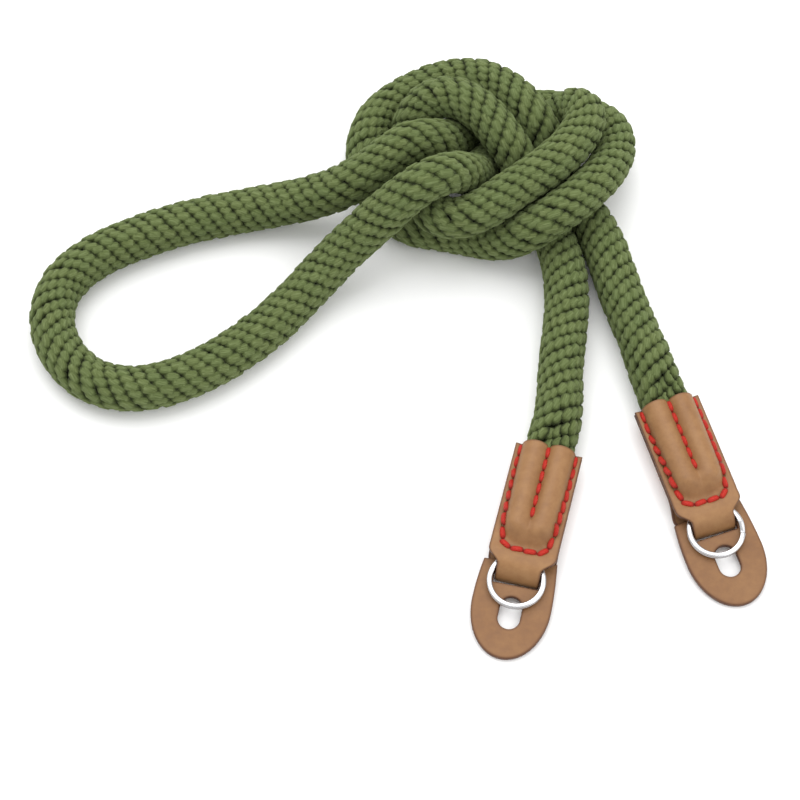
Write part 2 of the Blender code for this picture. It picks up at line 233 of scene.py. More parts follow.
# %% Floor and lights
FLOOR_SIZE = 4.0
paper = Finish("floor_paper", (0.95, 0.95, 0.95), 0.9)
grain = paper.noise(paper.where(), 260.0, 3.0)
paper.set("Base Color", paper.mixed(grain, (0.935, 0.935, 0.94, 1.0), (0.965, 0.965, 0.96, 1.0)))
paper.set("Specular IOR Level", 0.1)
sheet = bpy.data.meshes.new("floor")
half = FLOOR_SIZE / 2
corners = [(x * half, y * half, FLOOR) for x, y in ((-1, -1), (1, -1), (1, 1), (-1, 1))]
sheet.from_pydata(corners, [], [(0, 1, 2, 3)])
sheet.materials.append(paper.material)
floor = into_scene("floor", sheet)

SURROUND = 0.92                 # strength of the bright surround
world = bpy.data.worlds.new("tent")
world.use_nodes = True
tent = world.node_tree
tent.nodes["Background"].inputs["Color"].default_value = (1.0, 1.0, 1.0, 1.0)
tent.nodes["Background"].inputs["Strength"].default_value = SURROUND
bpy.context.scene.world = world

LAMPS = (
    # name, place, size, watts
    ("soft_top", (-0.15, 0.5, 1.05), 1.3, 11.5),
    ("soft_fill", (0.75, -0.35, 0.8), 0.9, 3.0),
)
for name, spot, size, watts in LAMPS:
    lamp = bpy.data.lights.new(name, "AREA")
    lamp.size = size
    lamp.energy = watts
    holder = into_scene(name, lamp)
    holder.location = spot
    holder.rotation_euler = (AIM - Vector(spot)).to_track_quat("-Z", "Y").to_euler()
print("floor at", round(FLOOR / MM, 2), "mm,", len(LAMPS), "lamps")

# %% [markdown]
# ## The rope's line
# A rope has one centre line, and everything else follows it. The line was laid over and under as
# the knot goes, and then settled: strands that come too near are pushed apart a little,
# again and again, while the rope straightens its own kinks and nothing sinks into the floor. The
# result is a knot that is drawn up, with its strands just touching.

# %% Sizes of the rope
GAP = 0.3 * MM
ROPE_D = 12.2 * MM
KNOT_SQUEEZE = 0.065            # share of its thickness that the rope loses inside the knot
KNOT_CENTRE = (28.0 * MM, 57.0 * MM)
KNOT_REACH = 30.0 * MM
KNOT_FADE = 10.0 * MM
PRESSED_AT = (44.0 * MM, 76.0 * MM)  # here the lower strands are hidden and pressed thinner
PRESSED_REACH = 12.0 * MM
PRESSED_FADE = 8.0 * MM
PRESSED_BELOW = 14.0 * MM
PRESSED_RISE = 5.0 * MM
PRESSED_SQUEEZE = 0.22
STRAND_GAP = 0.6 * MM
NODE_STEP = 4.0 * MM
SETTLE_ROUNDS = 400
SETTLE_PUSH = 0.15
SETTLE_MOVE = 0.8 * MM
SETTLE_STIFF = 0.12
SETTLE_HOLD = 0.02
NEIGHBOUR_REACH = 2.0
END_DEPTH = 25.0 * MM           # how deep the rope goes into the leather
END_PROUD = 2.0 * MM
END_FADE = 9.0 * MM
END_HALF_WIDTH = 5.9 * MM       # half of the rope's flattened end
END_HALF_HEIGHT = 3.8 * MM
LOBE_CREST = 3.1 * MM
LOBE_DIP = 1.0 * MM
LEATHER = 1.2 * MM
POCKET_GAP = 0.5 * MM
MIDPLANE = END_HALF_HEIGHT + POCKET_GAP + LEATHER
SHIFT = np.array([-0.6, 0.2, 0.0]) * MM
ENDS = (
    # name, mouth x, mouth y, pointing, ring's step
    ("left", 42.5 * MM, -31.4 * MM, math.radians(-104.3), math.radians(200.0)),
    ("right", 74.2 * MM, -17.6 * MM, math.radians(-72.5), math.radians(80.0)),
)
ROUTE = [
    # up the left tail and under the crossing
    (45, -13, 6), (47.6, 4, 6), (48.6, 24, 6), (44, 41, 7), (36, 56, 14),
    # inner arch, over and down on the left
    (28, 64, 21), (20, 70, 21), (12, 71, 18), (6, 69, 13), (4, 64, 6), (7, 49, 11),
    # inner diagonal, up to the right and round
    (10, 36, 17), (20.7, 33.3, 20.5), (34, 42, 21), (46.9, 52.1, 21), (55.2, 62.4, 21),
    (54, 70, 18), (47, 72, 12),
    # back under the arches and out to the loop
    (40, 70, 6), (31, 62, 9), (27, 51, 15), (16.9, 42, 21), (3.7, 34.4, 22),
    (-10.4, 28.2, 14.5), (-20.1, 19.7, 8),
    # round the loop
    (-34.6, 4.6, 6), (-52, -8, 6), (-72, -13, 6), (-84, -7, 6), (-92, 8, 6), (-88, 22, 6),
    (-78, 30, 6), (-58, 39, 6), (-35, 44, 7), (-19, 45, 12),
    # over the left turn and under the arches
    (-5, 48, 17), (10, 58, 15), (22, 71, 8), (34, 77, 6), (49, 76, 6), (60, 72, 9),
    # outer diagonal, down to the left and round
    (63.4, 60.6, 11.5), (58.9, 50.6, 14), (50.3, 39, 17.5), (40.5, 33, 13),
    (28, 32, 7), (15, 41, 6), (3, 47, 6),
    # outer arch
    (-4, 52, 6), (-6, 61, 7), (1, 72, 9), (11, 81, 11), (22, 83, 14), (32, 76, 18), (40, 66, 17),
    # down the right tail
    (45, 58, 7), (51, 45, 6), (59, 31, 6), (65, 11, 6), (71, -4, 6),
]
print(len(ROUTE), "points were laid by hand")


# %% Laying and settling the line
def ease(x):
    x = np.clip(x, 0.0, 1.0)
    return x * x * (3.0 - 2.0 * x)


def distance_along(line):
    return np.concatenate([[0.0], np.cumsum(np.linalg.norm(np.diff(line, axis=0), axis=1))])


def smooth_line(points, step, parts=20):
    """A Catmull-Rom curve through the points, read off at even steps."""
    points = np.asarray(points, float)
    ring = np.vstack([2 * points[0] - points[1], points, 2 * points[-1] - points[-2]])
    t = np.linspace(0.0, 1.0, parts, endpoint=False)[:, None]
    line = []
    for a, b, c, d in zip(ring, ring[1:], ring[2:], ring[3:]):
        line.append(0.5 * (2 * b + (c - a) * t + (2 * a - 5 * b + 4 * c - d) * t ** 2
                           + (3 * b - a - 3 * c + d) * t ** 3))
    line = np.vstack(line + [ring[-2:-1]])
    along = distance_along(line)
    even = np.linspace(0.0, along[-1], int(round(along[-1] / step)) + 1)
    return np.stack([np.interp(even, along, line[:, k]) for k in range(line.shape[1])], axis=1)


def flatness(line):
    """1 where the rope is flattened inside the leather, 0 where it is round."""
    along = distance_along(line)
    from_end = np.minimum(along, along[-1] - along)
    return 1.0 - ease((from_end - END_DEPTH - END_PROUD) / END_FADE)


def nearness(line, centre, reach, fade):
    """1 within reach of a place, 0 from there on when the fade is over."""
    away = np.hypot(line[:, 0] - centre[0], line[:, 1] - centre[1])
    return np.clip((reach + fade - away) / fade, 0.0, 1.0)


def rope_radius(route):
    """Half the rope's thickness at each node, less in the knot and least where it is pressed."""
    squeezed = nearness(route, KNOT_CENTRE, KNOT_REACH, KNOT_FADE)
    below = np.clip((PRESSED_BELOW - route[:, 2]) / PRESSED_RISE, 0.0, 1.0)
    pressed = nearness(route, PRESSED_AT, PRESSED_REACH, PRESSED_FADE) * below
    return ROPE_D / 2 * (1.0 - KNOT_SQUEEZE * squeezed) * (1.0 - PRESSED_SQUEEZE * pressed)


def settle(route, radius):
    """Push the strands apart until they only touch, while the rope keeps its bends soft."""
    line = route.copy()
    flat = flatness(route)
    lowest = radius * (1.0 - flat) + MIDPLANE * flat
    held = flat > 0.0
    apart = int(round(NEIGHBOUR_REACH * ROPE_D / NODE_STEP))
    one, other = np.triu_indices(len(line), apart)
    room = radius[one] + radius[other] + STRAND_GAP
    for turn in range(SETTLE_ROUNDS):
        between = line[one] - line[other]
        reach = np.linalg.norm(between, axis=1)
        near = reach < room
        push = between[near] / reach[near, None] * ((room - reach)[near] * SETTLE_PUSH)[:, None]
        move = np.zeros_like(line)
        np.add.at(move, one[near], push)
        np.add.at(move, other[near], -push)
        size = np.linalg.norm(move, axis=1)
        move *= np.minimum(1.0, SETTLE_MOVE / np.maximum(size, 1e-9))[:, None]
        line += move
        sag = np.zeros_like(line)
        sag[1:-1] = (line[:-2] + line[2:]) / 2 - line[1:-1]
        kink = np.zeros_like(line)
        kink[1:-1] = (sag[:-2] + sag[2:]) / 2 - sag[1:-1]
        line[2:-2] -= SETTLE_STIFF * kink[2:-2]
        line += SETTLE_HOLD * (1.0 - turn / SETTLE_ROUNDS) * (route - line)
        line[:, 2] = np.maximum(line[:, 2], lowest)
        line[held] = route[held]
    return line


def end_points(end):
    """Points of the rope's line inside one leather end and just outside its mouth."""
    _, x, y, pointing, _ = end
    points = []
    for depth in (END_DEPTH, END_DEPTH / 2, 0.0, -END_PROUD, -END_PROUD - END_FADE):
        height = MIDPLANE if depth >= -END_PROUD else ROPE_D / 2
        points.append((x + math.cos(pointing) * depth, y + math.sin(pointing) * depth, height))
    return np.array(points)


LINE_STEP = 1.0 * MM
left_end, right_end = (end_points(end) for end in ENDS)
laid = smooth_line(np.vstack([left_end, np.array(ROUTE, float) * MM, right_end[::-1]]), NODE_STEP)
thickness = rope_radius(laid)
settled = settle(laid, thickness)
line = smooth_line(settled, LINE_STEP)
along = distance_along(line)
radius = np.interp(along, distance_along(settled), thickness)
flat = flatness(line)
line = line + SHIFT
outside = np.minimum(along, along[-1] - along) - END_DEPTH   # distance from the nearer mouth
print("the rope is", round(float(along[-1]), 4), "m long")

# %% [markdown]
# ## The knitted surface
# The rope is a round knit: five ribs of stitches wind round it side by side like the strands of a
# right-handed screw, and each stitch sits half a stitch further round than its neighbour in the
# next rib. A displaced tube would need millions of faces for that. Instead one small stitch is
# modelled, a plump grain with both ends tucked under, and Geometry Nodes put a copy of it on every
# place of the lattice, over a core painted dark as the shade that shows between them. The lattice is
# worked out along the rope's own frame, so the stitches crowd on the inside of a bend and spread on
# its outside, as they do on the real rope.

# %% The lattice of stitches
RIBS = 5                        # ribs that wind side by side
RIB_PITCH = 3.8 * MM            # from one rib to the next, along the rope
ROUND_COUNT = 17.5              # stitches in one turn of a rib: the half gives each rib its stagger
STITCH_LONG = 5.0 * MM
STITCH_WIDE = 3.4 * MM
STITCH_HIGH = 1.15 * MM
STITCH_PROUD = 0.32 * MM        # the crowns stand this much above the rope's plain skin
FLARE = 0.7 * MM                # and more just outside the leather, where the rope opens out
FLARE_AT = 3.0 * MM             # most of it this far from the mouth
FLARE_LENGTH = 18.0 * MM
STITCH_LEAN = math.radians(27.0)  # a stitch leans this much from the rope's own direction
LEAN_SCATTER = math.radians(6.0)
PLACE_SCATTER = 0.16 * MM
CROWN_SCATTER = 0.05 * MM
STITCH_UNEVEN = 0.08            # each stitch is up to this share larger or smaller
LATTICE_SEED = 11
STITCH_SEED = 4
# The core is painted dark, as the shade that shows between the stitches.
CORE_SINK = 1.0 * MM            # the dark core lies this deep
HIDDEN_END = 21.0 * MM          # the rope is bare this far from its ends, inside the leather


def rope_frames(line):
    """The way on and the sideways direction at each point; both ends lie flat."""
    way = np.gradient(line, axis=0)
    way /= np.linalg.norm(way, axis=1)[:, None]
    up = np.array([0.0, 0.0, 1.0])
    side = np.zeros_like(line)
    side[0] = np.cross(way[0], up)
    side[0] /= np.linalg.norm(side[0])
    for k in range(1, len(line)):
        turned = side[k - 1] - way[k] * (side[k - 1] @ way[k])
        side[k] = turned / np.linalg.norm(turned)
    last = np.cross(way[-1], up)
    last /= np.linalg.norm(last)
    lean = math.atan2(float(np.cross(side[-1], last) @ way[-1]), float(side[-1] @ last))
    twist = lean * distance_along(line) / distance_along(line)[-1]
    top = np.cross(side, way)
    side = side * np.cos(twist)[:, None] - top * np.sin(twist)[:, None]
    return way, side


def lobes(across):
    """Half height of the flattened rope end at a distance from its middle."""
    out = np.abs(across)
    share = np.clip((out - LOBE_CREST) / (END_HALF_WIDTH - LOBE_CREST), 0.0, 1.0)
    outer = END_HALF_HEIGHT * np.sqrt(1.0 - share * share)
    inner = END_HALF_HEIGHT - LOBE_DIP * 0.5 * (1.0 + np.cos(math.pi * out / LOBE_CREST))
    return np.where(out > LOBE_CREST, outer, inner)


way, side = rope_frames(line)
top = np.cross(side, way)


def on_rope(distance, angle, sink):
    """Points at a distance along the rope and an angle round it, sunk below its skin."""
    def here(values):
        if values.ndim == 1:
            return np.interp(distance, along, values)
        return np.stack([np.interp(distance, along, values[:, k]) for k in range(3)], axis=1)

    plain, pressed = here(radius) - sink, here(flat)
    cos, sin = np.cos(angle), np.sin(angle)
    flat_x = END_HALF_WIDTH * cos
    flat_z = np.copysign(lobes(flat_x), sin)
    x = plain * cos * (1 - pressed) + (flat_x - sink * cos) * pressed
    z = plain * sin * (1 - pressed) + (flat_z - sink * sin) * pressed
    return here(line) + here(side) * x[:, None] + here(top) * z[:, None]


lead = RIBS * RIB_PITCH
round_step = 2 * math.pi / ROUND_COUNT
length = along[-1]
count = int((length + 2 * lead) / lead * ROUND_COUNT)
places = []
for rib in range(RIBS):
    number = np.arange(count) + 0.5 * rib
    distance = -lead + rib * RIB_PITCH + lead * number / ROUND_COUNT
    places.append(np.stack([distance, -round_step * number], axis=1))
places = np.vstack(places)
places = places[(places[:, 0] > HIDDEN_END) & (places[:, 0] < length - HIDDEN_END)]
chance = np.random.default_rng(LATTICE_SEED)
s, angle = places[:, 0], places[:, 1]
s = s + chance.normal(0.0, PLACE_SCATTER, len(s))
angle = angle + chance.normal(0.0, PLACE_SCATTER, len(s)) / (ROPE_D / 2)
lean = STITCH_LEAN + chance.normal(0.0, LEAN_SCATTER, len(s))
reach = STITCH_LONG / 2 * np.cos(lean)
turn = -STITCH_LONG / 2 * np.sin(lean) / (ROPE_D / 2)
from_mouth = np.interp(s, along, outside)
fading = np.clip(1.0 - np.abs(from_mouth - FLARE_AT) / FLARE_LENGTH, 0.0, 1.0)
flare = FLARE * fading * (from_mouth > 0.0)
proud = np.where(from_mouth > 0.0, STITCH_PROUD, 0.0) + flare
crown = STITCH_HIGH - proud + chance.normal(0.0, CROWN_SCATTER, len(s))
middle = on_rope(s, angle, crown)
grain_way = on_rope(s + reach, angle + turn, crown) - on_rope(s - reach, angle - turn, crown)
stretch = np.linalg.norm(grain_way, axis=1) / STITCH_LONG
outward = middle - on_rope(s, angle, crown + 1.0 * MM)
print(len(s), "stitches")


# %% One stitch and the core
def mesh_object(name, points, faces=(), material=None, **attributes):
    """A smooth mesh object, with a number or a vector on each point for every attribute."""
    data = bpy.data.meshes.new(name)
    data.from_pydata([tuple(p) for p in points], [], faces)
    if faces:
        mesh = bmesh.new()
        mesh.from_mesh(data)
        bmesh.ops.recalc_face_normals(mesh, faces=mesh.faces)
        mesh.to_mesh(data)
        mesh.free()
        data.shade_smooth()
    if material:
        data.materials.append(material)
    for label, values in attributes.items():
        kind, key = ("FLOAT", "value") if np.ndim(values) == 1 else ("FLOAT_VECTOR", "vector")
        data.attributes.new(label, kind, "POINT").data.foreach_set(key, np.ravel(values))
    return into_scene(name, data)


def count_triangles(thing):
    return sum(len(p.vertices) - 2 for p in thing.data.polygons)


def tube_faces(rings, sides, closed=True):
    """Faces of a tube whose points run ring after ring, with its ends closed."""
    faces = []
    for k in range(rings - 1):
        for n in range(sides):
            m = (n + 1) % sides
            faces.append((k * sides + n, (k + 1) * sides + n, (k + 1) * sides + m, k * sides + m))
    if closed:
        faces.append(tuple(range(sides)))
        faces.append(tuple(range(rings * sides - 1, (rings - 1) * sides - 1, -1)))
    return faces


# across the grain: angles round its section, close together where it shows
SECTION = [math.radians(a) for a in (-90, -5, 48, 90, 132, 185)]
# along the grain: place, and share of its full section
RUN = ((-0.99, 0.28), (-0.5, 0.90), (0.5, 0.90), (0.99, 0.28))
UNDERSIDE = 0.45                # its hidden side is this flat
TUCK = 0.25                     # its ends dip this share of its height
points, crest = [], []
for at, share in RUN:
    for a in SECTION:
        deep = UNDERSIDE if math.sin(a) < 0 else 1.0
        points.append((at / 2, math.cos(a) / 2 * share ** 0.8,
                       deep * math.sin(a) * share - TUCK * at * at))
        # High on top of the grain, for a painted highlight, and low at its sides and tucked ends,
        # for painted shade between the stitches.
        crest.append((0.3 + 0.7 * max(0.0, math.sin(a))) * share ** 1.6)
stitch = mesh_object("one_stitch", points, tube_faces(len(RUN), len(SECTION)),
                     grain=points, crest=crest)

CORE_SIDES = 10
CORE_ROWS = 300
CORE_BEYOND = 1.5 * MM          # the core runs on past the last stitches
core_rows = np.linspace(HIDDEN_END - CORE_BEYOND, length - HIDDEN_END + CORE_BEYOND, CORE_ROWS)
ring_angle = 2 * math.pi * (np.arange(CORE_SIDES) + 0.5) / CORE_SIDES
core_points = np.vstack([on_rope(np.full(CORE_SIDES, row), ring_angle, CORE_SINK)
                         for row in core_rows])
# The core gets none of the painted light, so the ramp paints it in its darkest green, as shade.
core = mesh_object("core", core_points, tube_faces(CORE_ROWS, CORE_SIDES),
                   grain=core_points, crest=np.zeros(len(core_points)))
knit_places = mesh_object("knit_places", middle, outward=outward, grain_way=grain_way,
                          stretch=stretch)
print("a stitch has", count_triangles(stitch), "triangles")

# %% [markdown]
# ### Cotton
# Dyed cotton is matt and a little fuzzy. Its green is painted lighter and greyer on the crowns of
# the stitches, a painted highlight, and painted dark between them, a painted shade. Every stitch
# gets its own tone, broad patches shift the shade along the rope, and fine streaks run along each
# grain as the spun yarn does.

# %% The rope's material
cotton = Finish("cotton_rope", tint(84, 95, 56), 0.95)
light_and_shade_level = cotton.attribute("crest")
tone = cotton.attribute("tone")
fibre_place = cotton.vector_work("MULTIPLY", cotton.vector("grain"), (2.2, 11.0, 5.0))
own_place = cotton.place("ShaderNodeCombineXYZ", None, {0: tone * 37.0, 1: tone * 91.0}).outputs[0]
fibre = cotton.noise(cotton.vector_work("ADD", fibre_place, own_place), 1.0, 3.0, 0.6)
patches = cotton.noise(cotton.where(), 90.0, 2.0)
# The ramp paints light and shade: dark where the stitches meet and on the core, light on their
# crowns as a painted highlight.
green = cotton.ramp(light_and_shade_level + (fibre - 0.5) * 0.8,
                    (0.0, rgba(20, 25, 11)), (0.35, rgba(60, 69, 37)),
                    (0.75, rgba(102, 113, 74)), (1.0, rgba(128, 139, 101)))
shade = (tone - 0.5) * 0.5 + (patches - 0.5) * 0.7 + 0.5
warm = cotton.mixed(shade.clamped(), rgba(100, 118, 76), rgba(146, 146, 108))
cotton.set("Base Color", cotton.mixed(0.45, green, warm, "SOFT_LIGHT"))
fuzz = cotton.noise(cotton.where(), 2100.0, 3.0, 0.65)
cotton.set("Normal", cotton.bumped(fibre, 0.4 * MM, 0.8, cotton.bumped(fuzz, 0.12 * MM, 0.6)))
cotton.set("Sheen Weight", 0.12)
cotton.set("Sheen Roughness", 0.6)
cotton.set("Sheen Tint", (0.62, 0.72, 0.42, 1.0))
cotton.set("Specular IOR Level", 0.1)


# %% Knitting with Geometry Nodes
class Tree:
    """A Geometry Nodes tree with named inputs."""

    def __init__(self, name, inputs):
        self.group = bpy.data.node_groups.new(name, "GeometryNodeTree")
        sockets = self.group.interface
        sockets.new_socket("Geometry", in_out="INPUT", socket_type="NodeSocketGeometry")
        self.identifiers = {}
        for label, kind in inputs:
            self.identifiers[label] = sockets.new_socket(label, in_out="INPUT",
                                                         socket_type="NodeSocket" + kind).identifier
        sockets.new_socket("Geometry", in_out="OUTPUT", socket_type="NodeSocketGeometry")
        self.start = self.group.nodes.new("NodeGroupInput")
        self.end = self.group.nodes.new("NodeGroupOutput")

    def input(self, label):
        return self.start.outputs[label]

    def number(self, label):
        return Number(self.group, self.input(label))

    def place(self, kind, settings=None, sockets=None):
        return place(self.group, kind, settings, sockets)

    def named(self, label, kind="FLOAT_VECTOR"):
        return self.place("GeometryNodeInputNamedAttribute", {"data_type": kind},
                          {"Name": label}).outputs[0]

    def copies(self, way, long, wide, high):
        """The stitch on every point, of these sizes, with Z outward and X along its way."""
        one = self.place("GeometryNodeObjectInfo", None, {"Object": self.input("Stitch")})
        up = self.place("FunctionNodeAlignRotationToVector", {"axis": "Z"},
                        {"Vector": self.named("outward")})
        turn = self.place("FunctionNodeAlignRotationToVector", {"axis": "X", "pivot_axis": "Z"},
                          {"Rotation": up.outputs[0], "Vector": self.named(way)})
        size = self.place("ShaderNodeCombineXYZ", None, {0: long, 1: wide, 2: high})
        return self.place("GeometryNodeInstanceOnPoints", None, {
            "Points": self.input("Geometry"), "Instance": one.outputs["Geometry"],
            "Rotation": turn.outputs[0], "Scale": size.outputs[0]}).outputs[0]

    def finish(self, geometry):
        real = self.place("GeometryNodeRealizeInstances", None, {"Geometry": geometry})
        dressed = self.place("GeometryNodeSetMaterial", None,
                             {"Geometry": real.outputs[0], "Material": self.input("Material")})
        self.group.links.new(dressed.outputs[0], self.end.inputs[0])

    def grow(self, on, name, values):
        """Run the tree on an object and keep the result as a plain mesh under that name."""
        step = on.modifiers.new(self.group.name, "NODES")
        step.node_group = self.group
        for label, value in values.items():
            step[self.identifiers[label]] = value
        graph = bpy.context.evaluated_depsgraph_get()
        data = bpy.data.meshes.new_from_object(on.evaluated_get(graph), depsgraph=graph)
        on.modifiers.remove(step)
        data.name = name
        return into_scene(name, data)


knit = Tree("knit", [("Stitch", "Object"), ("Core", "Object"), ("Long", "Float"), ("Wide", "Float"),
                     ("High", "Float"), ("Uneven", "Float"), ("Seed", "Int"),
                     ("Material", "Material")])
inner = knit.place("GeometryNodeObjectInfo", None, {"Object": knit.input("Core")})
uneven = knit.number("Uneven")
luck = knit.place("FunctionNodeRandomValue", {"data_type": "FLOAT"},
                  {2: 1.0 - uneven, 3: 1.0 + uneven, "Seed": knit.input("Seed")})
luck = Number(knit.group, luck.outputs[1])
pulled = Number(knit.group, knit.named("stretch", "FLOAT"))
grains = knit.copies("grain_way", knit.number("Long") * pulled * luck, knit.number("Wide") * luck,
                     knit.number("High") * luck)
tones = knit.place("FunctionNodeRandomValue", {"data_type": "FLOAT"},
                   {"Seed": knit.number("Seed") + 1.0})
marked = knit.place("GeometryNodeStoreNamedAttribute", {"data_type": "FLOAT", "domain": "INSTANCE"},
                    {"Geometry": grains, "Name": "tone", "Value": tones.outputs[1]})
both = knit.place("GeometryNodeJoinGeometry")
knit.group.links.new(marked.outputs[0], both.inputs[0])
knit.group.links.new(inner.outputs["Geometry"], both.inputs[0])
knit.finish(both.outputs[0])
rope = knit.grow(knit_places, "rope_knitted", {
    "Stitch": stitch, "Core": core, "Long": STITCH_LONG, "Wide": STITCH_WIDE, "High": STITCH_HIGH,
    "Uneven": STITCH_UNEVEN, "Seed": STITCH_SEED, "Material": cotton.material})
for helper in (stitch, core, knit_places):
    bpy.data.objects.remove(helper)
print("the rope has", count_triangles(rope), "triangles")

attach(rope, "root")
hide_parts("rope")

# %% [markdown]
# ## The leather ends
# Each end is one strip of tan leather. It starts at the mouth above the flattened rope, narrows to
# a neck, goes down through the flap's slit with the split ring on it, turns back underneath and
# ends at the mouth again. The strip is worked out once as a grid: rows along its way and columns
# across it. The leather rises over the rope's two lobes, its middle row of stitches pulls it down
# between them, and outside the rope both layers lie close together. Each row gives points on both
# faces of the leather, and towards every cut edge the thickness falls off in a small arc, so that
# no edge is razor sharp.

# %% Sizes of the leather ends
TAB_LENGTH = 38.0 * MM          # from the mouth to the fold that goes through the flap
TAB_HALF_WIDTH = 9.0 * MM
NECK_HALF_WIDTH = 5.8 * MM
SHOULDER_START = 8.2 * MM
SHOULDER_END = 3.0 * MM
SHOULDER_LATE = 2.5             # the narrowing is put off towards the neck by this power
HUMP_SLOPE = 4.0 * MM
HUMP_ROUND = 2.2 * MM           # at its sides the hump ends this much sooner, which rounds its end
MIDDLE_DIP = 1.1 * MM           # the middle row of stitches pulls the leather in between the lobes
MIDDLE_SPREAD = 1.5 * MM
MIDDLE_BEYOND = 2.0 * MM        # the dip goes on past the row's end
MIDDLE_FADE = 5.0 * MM
SEAM_GAP = 0.3 * MM
# the neck's line in mm, back from the fold and up from the floor
NECK_OVER = (
    (8.6, 6.10), (7.8, 6.30), (7.0, 6.45), (6.0, 6.50), (4.8, 6.45), (3.8, 6.25), (3.0, 5.85),
    (2.2, 5.10), (1.5, 4.20), (1.0, 3.40), (0.75, 2.80), (0.70, 1.90),
)
NECK_UNDER = (
    (0.72, 1.25), (0.95, 0.80), (1.45, 0.60), (3.4, 0.60), (5.4, 0.60), (6.6, 0.65), (7.4, 0.95),
    (8.1, 1.65), (8.8, 2.45), (9.5, 3.25), (10.3, 3.95), (11.0, 4.40),
)
NECK_FROM = 9.9                 # the straight part stops here, in mm from the fold
NECK_CLEAR = 0.6                # and starts again this far past the neck's last point
EDGE_ROUND = 0.35 * MM          # radius of the rubbed edges
EDGE_BAND = 0.8 * MM            # a cut edge is darker over this width
INNER_DARK = 0.45               # added to that mask on the inner face
SEAM_START = 0.4 * MM           # the rows start this far from the mouth
SEAM_SIDE = 7.3 * MM            # the side rows of stitches at the mouth, out from the middle
SEAM_LOW_SIDE = 6.3 * MM        # and where the corners start
SEAM_BOTTOM = 30.5 * MM         # the row across, from the mouth
SEAM_CORNER = 3.4 * MM
SEAM_MIDDLE = 22.0 * MM         # length of the middle row
UNDER_SIDE = 25.0 * MM          # length of the side rows on the underside
SEAM_SINK = 0.28 * MM           # the thread pulls the leather in this deep
SEAM_SPREAD = 0.65 * MM
STRIP_STEP = 0.1                # the strip's line is read off at these steps, in mm
# steps from a cut end that get a row of the grid; between the ends every seventh step does
END_ROWS = (0, 1, 2, 3, 5, 8)
# distances in from the edge for its columns, close together at the edge and along the seam
COLUMNS = (0.0, 0.07, 0.16, 0.28, 0.45, 0.8, 1.2, 1.5, 1.75, 1.95, 2.2, 2.6, 3.1, 3.6, 4.2, 4.8,
           5.4, 6.0, 6.6, 7.2, 7.7, 8.1, 8.45, 8.75, 9.0)


def hump(across):
    """How far the leather's middle stands off the seam plane, over the flattened rope."""
    clear = POCKET_GAP + LEATHER / 2
    at = np.linspace(-END_HALF_WIDTH, END_HALF_WIDTH, 97)
    reach = clear ** 2 - (np.asarray(across)[:, None] - at) ** 2
    over = np.where(reach > 0.0, lobes(at) + np.sqrt(np.maximum(reach, 0.0)), 0.0)
    return np.maximum(over.max(axis=1), (SEAM_GAP + LEATHER) / 2)


def seam_line(side):
    """The rows of stitches on one side of the strip, as lines of (from the mouth, across)."""
    middle = np.array([(SEAM_START, 0.0), (SEAM_MIDDLE, 0.0)])
    if side < 0:
        rows = [np.array([(SEAM_START, v), (UNDER_SIDE, v)]) for v in (-SEAM_SIDE, SEAM_SIDE)]
        return rows + [middle]
    low, out = SEAM_BOTTOM - SEAM_CORNER, SEAM_LOW_SIDE - SEAM_CORNER
    corner = [(low + SEAM_CORNER * math.sin(a), out + SEAM_CORNER * math.cos(a))
              for a in np.linspace(0.0, math.pi / 2, 7)]
    left = [(SEAM_START, SEAM_SIDE)] + corner
    right = [(u, -v) for u, v in reversed(left)]
    return [np.array(left + right), middle]


def away_from(points, lines):
    """Distance of flat points from the nearest of some lines."""
    best = np.full(len(points), 1.0)
    for chain in lines:
        for a, b in zip(chain[:-1], chain[1:]):
            share = np.clip(((points - a) @ (b - a)) / ((b - a) @ (b - a)), 0.0, 1.0)
            best = np.minimum(best, np.linalg.norm(points - a - share[:, None] * (b - a), axis=1))
    return best


# %% The strip as a grid
seam = (SEAM_GAP + LEATHER) / 2
rope_stops = TAB_LENGTH - END_DEPTH
body = np.arange(TAB_LENGTH / MM, NECK_FROM, -1.0) * MM
way_down = [(back, MIDPLANE + seam) for back in body] + [(b * MM, h * MM) for b, h in NECK_OVER]
way_back = [(b * MM, h * MM) for b, h in NECK_UNDER]
straight_from = (NECK_UNDER[-1][0] + NECK_CLEAR) * MM
way_back += [(back, MIDPLANE - seam) for back in body[::-1] if back > straight_from]
fine = smooth_line(np.array(way_down + way_back), STRIP_STEP * MM)
last = len(fine) - 1
picks = sorted({*END_ROWS, *(last - k for k in END_ROWS), *range(12, last - 9, 7)})
strip = fine[picks]
strip_at = np.array(picks) * STRIP_STEP * MM
fold = int(np.argmin(strip[:, 0]))
layer = np.where(np.arange(len(strip)) <= fold, 1.0, -1.0)
from_edge = np.array(COLUMNS) * MM
shares = np.concatenate([-1.0 + from_edge / TAB_HALF_WIDTH,
                         (1.0 - from_edge / TAB_HALF_WIDTH)[-2::-1]])
narrowing = ease((SHOULDER_START - strip[:, 0]) / (SHOULDER_START - SHOULDER_END)) ** SHOULDER_LATE
half_width = TAB_HALF_WIDTH + (NECK_HALF_WIDTH - TAB_HALF_WIDTH) * narrowing
across = np.abs(half_width[:, None] * shares)
ends_at = rope_stops + HUMP_ROUND * np.clip(across / END_HALF_WIDTH, 0.0, 1.3) ** 3
full = 1.0 - ease((ends_at - strip[:, 0][:, None]) / HUMP_SLOPE)
rise = hump(TAB_HALF_WIDTH * shares) - seam
dip = MIDDLE_DIP * np.exp(-(TAB_HALF_WIDTH * shares / MIDDLE_SPREAD) ** 2)
dip = dip * ease((strip[:, 0] - TAB_LENGTH + SEAM_MIDDLE + MIDDLE_BEYOND) / MIDDLE_FADE)[:, None]
grid = np.empty((len(strip), len(shares), 3))
grid[:, :, 0] = (TAB_LENGTH - strip[:, 0])[:, None]
